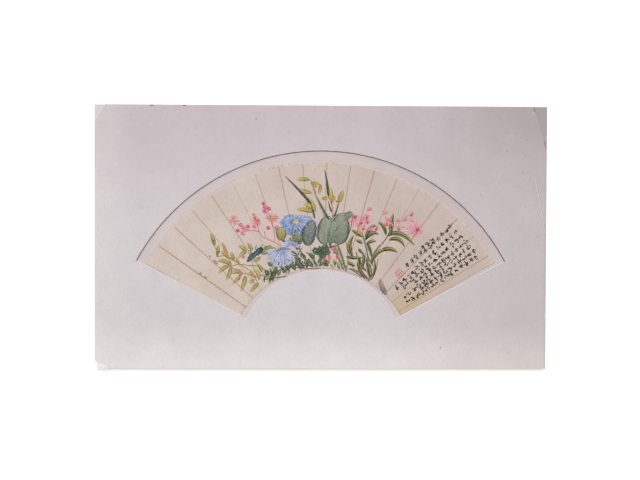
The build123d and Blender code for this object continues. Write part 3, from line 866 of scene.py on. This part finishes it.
def stamp_lines(offsets, across, width):
    """Parallel lines of the stamp: at each offset from its middle, as long as the stamp is wide."""
    c, s = math.cos(STAMP_TURN), math.sin(STAMP_TURN)
    a, b = ((c, s), (-s, c)) if across else ((-s, c), (c, s))
    return [(STAMP_U + a[0] * o - b[0] * STAMP_HALF, STAMP_V + a[1] * o - b[1] * STAMP_HALF,
             STAMP_U + a[0] * o + b[0] * STAMP_HALF, STAMP_V + a[1] * o + b[1] * STAMP_HALF, width)
            for o in offsets]


on_leaf("painted_red_stamp", "stamp_colour", 0.3, 0.4, [
    strokes(stamp_lines((-STAMP_HALF, -1.7, 1.7, STAMP_HALF), True, STAMP_LINE), "stem",
            (216, 96, 78), (222, 112, 92), 2, 0.0),
    strokes(stamp_lines((-STAMP_HALF, 0.0, STAMP_HALF), False, STAMP_LINE), "stem",
            (212, 88, 70), (218, 104, 86), 4, 0.0)])
feather = foliage(85, 119, 94, 98, 12, 7, 2.4, 20, seed=141)
on_leaf("painted_feather_wash", "wash_colour", 0.3, 0.45, [
    strokes(feather, "leaf", (168, 156, 142), (188, 174, 160), 1, seed=142),
    strokes([(85, 120, 88, 108, 95, 95, 7.5)], "petal", (184, 172, 156), (104, 94, 92), 2, seed=143)])

# ---- Hinge tape ---------------------------------------------------------------------------------
# One strip of gummed linen tape along the top edge: one flap pasted on the backing board, one behind
# the mat, and a round fold between them.
TAPE_LOW, TAPE_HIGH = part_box("hinge_tape_lower")
MAT_FLAP_LOW, MAT_FLAP_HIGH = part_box("hinge_tape_upper")
FOLD_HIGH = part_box("hinge_tape_fold")[1]
TAPE_THICK = TAPE_HIGH.z - TAPE_LOW.z
HINGE_Z = (TAPE_LOW.z + MAT_FLAP_HIGH.z) / 2
BEND = (MAT_FLAP_HIGH.z - TAPE_LOW.z) / 2
HINGE_Y = FOLD_HIGH.y - BEND
FLAP = HINGE_Y - TAPE_LOW.y
FLAP_POINTS, FOLD_POINTS, TAPE_POINTS = 40, 15, 160
THREAD_PITCH = 0.0007
straight, bent = np.linspace(0.0, FLAP, FLAP_POINTS), np.linspace(0.0, math.pi, FOLD_POINTS)[1:-1]
inside = BEND - TAPE_THICK


def tape_profile(radius, lower_z, upper_z):
    """The profile (y, z) of one face of the tape: along the lower flap at its level, round the
    hinge line at a radius, and back along the upper flap at its own."""
    y = np.concatenate([TAPE_LOW.y + straight, HINGE_Y + radius * np.sin(bent),
                        TAPE_LOW.y + straight[::-1]])
    z = np.concatenate([np.full(FLAP_POINTS, lower_z), HINGE_Z - radius * np.cos(bent),
                        np.full(FLAP_POINTS, upper_z)])
    return y, z


tape_x = np.linspace(TAPE_LOW.x, TAPE_HIGH.x, TAPE_POINTS)


def strip(y, z):
    """The grid of a profile (y, z) carried along the tape's length."""
    grid_x, grid_y = np.meshgrid(tape_x, y, indexing="ij")
    return np.stack([grid_x, grid_y, np.broadcast_to(z, grid_x.shape)], -1)


hinge_tape = body("hinge_tape", *slab(strip(*tape_profile(BEND, TAPE_LOW.z, MAT_FLAP_HIGH.z)),
                                      strip(*tape_profile(inside, TAPE_HIGH.z, MAT_FLAP_LOW.z))))
linen = paper("linen_tape", shade(226, 218, 200), shade(210, 200, 180), 30.0, 700.0, 0.05, 0.00008)
_, tree, place, shader = linen
threads = []
for direction in ((1.0, 0.0, 0.0), (0.0, 1.0, 0.0)):
    along = wire(tree, "VectorMath", place, direction, operation="DOT_PRODUCT").outputs["Value"]
    threads.append(sums(tree, "SINE", sums(tree, "MULTIPLY", along, 2 * math.pi / THREAD_PITCH)))
weave = sums(tree, "MULTIPLY", threads[0], threads[1])
lay_over(tree, shader, ramp(tree, weave, -0.1, -0.9, 0.0, 0.5), shade(168, 156, 132))
tree.links.new(weave, tree.nodes["Bump"].inputs["Height"])
hinge_tape.data.materials.append(linen[0])
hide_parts("hinge_tape_lower", "hinge_tape_upper", "hinge_tape_fold")
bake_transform(hinge_tape)

# ---- Window mat ---------------------------------------------------------------------------------
# Six-ply mat board, lilac-grey face paper on a white card core, with a fan-shaped window cut on a
# bevel. The face carries painted light: lighter towards its foot and left edge and darker towards
# the top right, with a painted highlight and a painted shade on its bent top corners. The upper
# bevel carries a painted shade line.
MAT_LOW, MAT_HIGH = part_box("mat_face_paper")
face_paper = paper("mat_face_paper", (1.0, 1.0, 1.0), (0.955, 0.955, 0.96), 22.0, 950.0, 0.03, 0.00006)
_, tree, place, shader = face_paper
spot = wire(tree, "SeparateXYZ", place).outputs
# Painted light: the face is lighter towards its foot and its left edge, and darker towards the right
# and the top right corner.
up_way = wire(tree, "MapRange", spot[1], MAT_LOW.y, MAT_HIGH.y).outputs[0]
foot_tone, middle_tone, top_tone = shade(231, 225, 223), shade(214, 207, 209), shade(203, 192, 196)
painted_light_gradient = mixed(tree, ramp(tree, up_way, -0.02, 0.21), foot_tone, middle_tone)
painted_light_gradient = mixed(tree, ramp(tree, up_way, 0.5, 1.02), painted_light_gradient, top_tone)
painted_light_gradient = mixed(tree, ramp(tree, spot[0], 0.02, 0.33), painted_light_gradient, (0.85, 0.825, 0.81), "MULTIPLY")
shaded_top_right = sums(tree, "MULTIPLY", ramp(tree, spot[0], 0.16, 0.34), ramp(tree, spot[1], 0.07, 0.20))
painted_light_gradient = mixed(tree, shaded_top_right, painted_light_gradient, (0.90, 0.90, 0.885), "MULTIPLY")
lit_corner = ramp(tree, spot[0], -0.26, -0.33, 0.0, 0.32)
painted_light_gradient = mixed(tree, lit_corner, painted_light_gradient, shade(232, 225, 224))
lay_over(tree, shader, 1.0, painted_light_gradient, "MULTIPLY")
scuffed = wire(tree, "TexNoise", place, None, 34.0, 7.0, 0.72).outputs[0]
lay_over(tree, shader, ramp(tree, scuffed, 0.58, 0.74, 0.0, 0.16), shade(236, 230, 226))
lay_over(tree, shader, ramp(tree, scuffed, 0.42, 0.26, 0.0, 0.14), shade(150, 138, 140))
LEFT_BEND, RIGHT_BEND = (0.0160, 0.0270), (0.0193, 0.0595)


def bent_corner(across, wide, tall):
    """The way in from the mat's side over wide, plus the way down from its top over tall, which is
    under one inside the corner's bent triangle."""
    down = sums(tree, "SUBTRACT", MAT_HIGH.y, spot[1])
    return sums(tree, "ADD", sums(tree, "DIVIDE", across, wide), sums(tree, "DIVIDE", down, tall))


# Painted highlight and painted shade: the bent upper left corner is lighter and the bent upper right
# corner darker, as they catch and lose the lamp.
left_bend_highlight = bent_corner(sums(tree, "SUBTRACT", spot[0], MAT_LOW.x), *LEFT_BEND)
lay_over(tree, shader, ramp(tree, left_bend_highlight, 1.04, 0.94, 0.0, 0.55), shade(226, 216, 219))
plum_edge = ramp(tree, spot[0], MAT_HIGH.x - 0.004, MAT_HIGH.x - 0.0005, 0.0, 0.22)
lay_over(tree, shader, plum_edge, shade(150, 124, 134))
right_bend_shade = bent_corner(sums(tree, "SUBTRACT", MAT_HIGH.x, spot[0]), *RIGHT_BEND)
lay_over(tree, shader, ramp(tree, right_bend_shade, 1.10, 0.96, 0.0, 0.20), shade(138, 124, 126))
grime = wire(tree, "TexVoronoi", place, None, 16.0).outputs[0]
lay_over(tree, shader, ramp(tree, grime, 0.045, 0.015, 0.0, 0.10), shade(160, 138, 128))
dress("mat_face_paper", face_paper[0])
mat_card = card("mat_core", shade(238, 235, 234), shade(230, 226, 224), PLY)
_, tree, place, shader = mat_card
# Painted shade: a dark line on the upper bevel of the window's rim, kept off the lower bevels and the
# board's outer edges.
rim_way = fold_marks(tree, place)[3]
RIM_SHADE_DARK, RIM_SHADE_LEAST_Y = 0.88, -0.06
rim_bevel_shade = sums(tree, "MULTIPLY", ramp(tree, rim_way, 0.3022, 0.3030, 0.0, RIM_SHADE_DARK),
                ramp(tree, rim_way, 0.308, 0.307))
core_y = wire(tree, "SeparateXYZ", place).outputs[1]
rim_bevel_shade = sums(tree, "MULTIPLY", rim_bevel_shade, ramp(tree, core_y, RIM_SHADE_LEAST_Y - 0.01, RIM_SHADE_LEAST_Y))
lay_over(tree, shader, rim_bevel_shade, shade(118, 96, 101))
dress("mat_core", mat_card[0])
mat_back = paper("mat_back_paper", shade(226, 222, 214), shade(219, 214, 206), 8.0, 900.0, 0.04)
dress("mat_back_paper", mat_back[0])

# ---- Mat wear -----------------------------------------------------------------------------------
# Where the face paper has been handled: a crease at the upper left corner, nicks along the edges, a
# long streak near the right edge, a few specks, one of them near the foot, and the window's rubbed
# rim.
TOP_LEFT, TOP_RIGHT = (MAT_LOW.x, MAT_HIGH.y), (MAT_HIGH.x, MAT_HIGH.y)
RIM_FACE_RADIUS = 304.9
RUB_PITCH, RUB_LONG = 2.0, 1.9


def face_level(x, y):
    """The mat's face is level."""
    return np.full(np.shape(x), MAT_HIGH.z)


def on_mat(name, colour, grain, thin, origin, batches):
    """A piece of wear on the mat's face, in millimetres from origin, with no fold marks."""
    finish_paint(painted(name, batches, face_level, origin), water_colour(colour, grain, thin, False),
                 "window_mat")


left_wear = [
    (0.6, -26.0, 15.6, -0.8, 0.6), (17, -0.8, 25, -0.8, 1.2), (99, -0.8, 114, -0.8, 1.1),
    (62, -0.7, 70, -0.7, 0.8), (0.9, -60, 0.9, -88, 0.9), (0.8, -210, 0.9, -240, 0.8)]
right_wear = [(-0.9, -130, -0.9, -160, 0.9), (-1.8, -41, -0.9, -46, 1.0),
              (-0.9, -300, -1.1, -322, 1.2), (-120, -0.8, -138, -0.8, 0.8)]
left_nicks = [(79, -0.6, 85, -0.7, 1.1), (126, -0.6, 132, -0.7, 0.9), (232, -19, 233.2, -20, 1.2)]
on_mat("mat_left_corner_wear", "rubbed_paper_left", 0.2, 0.1, TOP_LEFT, [
    strokes(left_nicks, "stem", (96, 82, 84), (112, 98, 98), 1, 0.03, seed=156),
    strokes(left_wear, "stem", (240, 235, 230), (228, 222, 218), 1, 0.03, seed=151)])
right_nicks = [(-4.4, -49, -1.4, -61, 1.0), (-19.5, -1.0, -17.5, -8, 1.1)]
right_specks = [(-58, -65), (-29, -48), (-34, -95), (-31, -70), (-96, -128)]
on_mat("mat_right_corner_wear", "rubbed_paper_right", 0.2, 0.1, TOP_RIGHT, [
    strokes([(-18.5, -98, -8, -148, -1.6, -188, 2.6)], "stem", (226, 216, 210), (222, 212, 206), 0,
            seed=157),
    strokes(right_nicks, "stem", (132, 116, 122), (148, 132, 136), 1, 0.03, seed=158),
    strokes([(x - 0.8, y, x + 0.8, y + 0.4, 1.5) for x, y in right_specks], "dab", (166, 152, 150),
            (176, 162, 158), 1, seed=159),
    strokes(right_wear, "stem", (222, 212, 208), (206, 196, 194), 1, 0.03, seed=152)])
rub_turns = np.radians(np.arange(28.6, 151.6, RUB_PITCH))
rub_ends = rub_turns + np.radians(RUB_LONG)
rub_middle = (rub_turns + rub_ends) / 2
rub_wide = np.random.default_rng(153).uniform(0.5, 1.1, len(rub_turns))
rub_along = [f(a) * RIM_FACE_RADIUS for a in (rub_turns, rub_middle, rub_ends)
             for f in (np.cos, np.sin)]
rim_rub = np.stack(rub_along + [rub_wide], 1).tolist()
on_mat("mat_window_rim_rub", "rubbed_rim", 0.2, 0.25, (0.0, PIVOT_Y), [
    strokes(rim_rub, "stem", (232, 222, 214), (224, 214, 206), 1, seed=154)])
on_mat("mat_foot_speck", "speck_soil", 0.3, 0.4, (0.0, 0.0), [
    strokes([(172.8, -158.2, 175.2, -157.8, 2.6)], "dab", (164, 158, 152), (176, 168, 162), 1, 0.0,
            seed=155)])
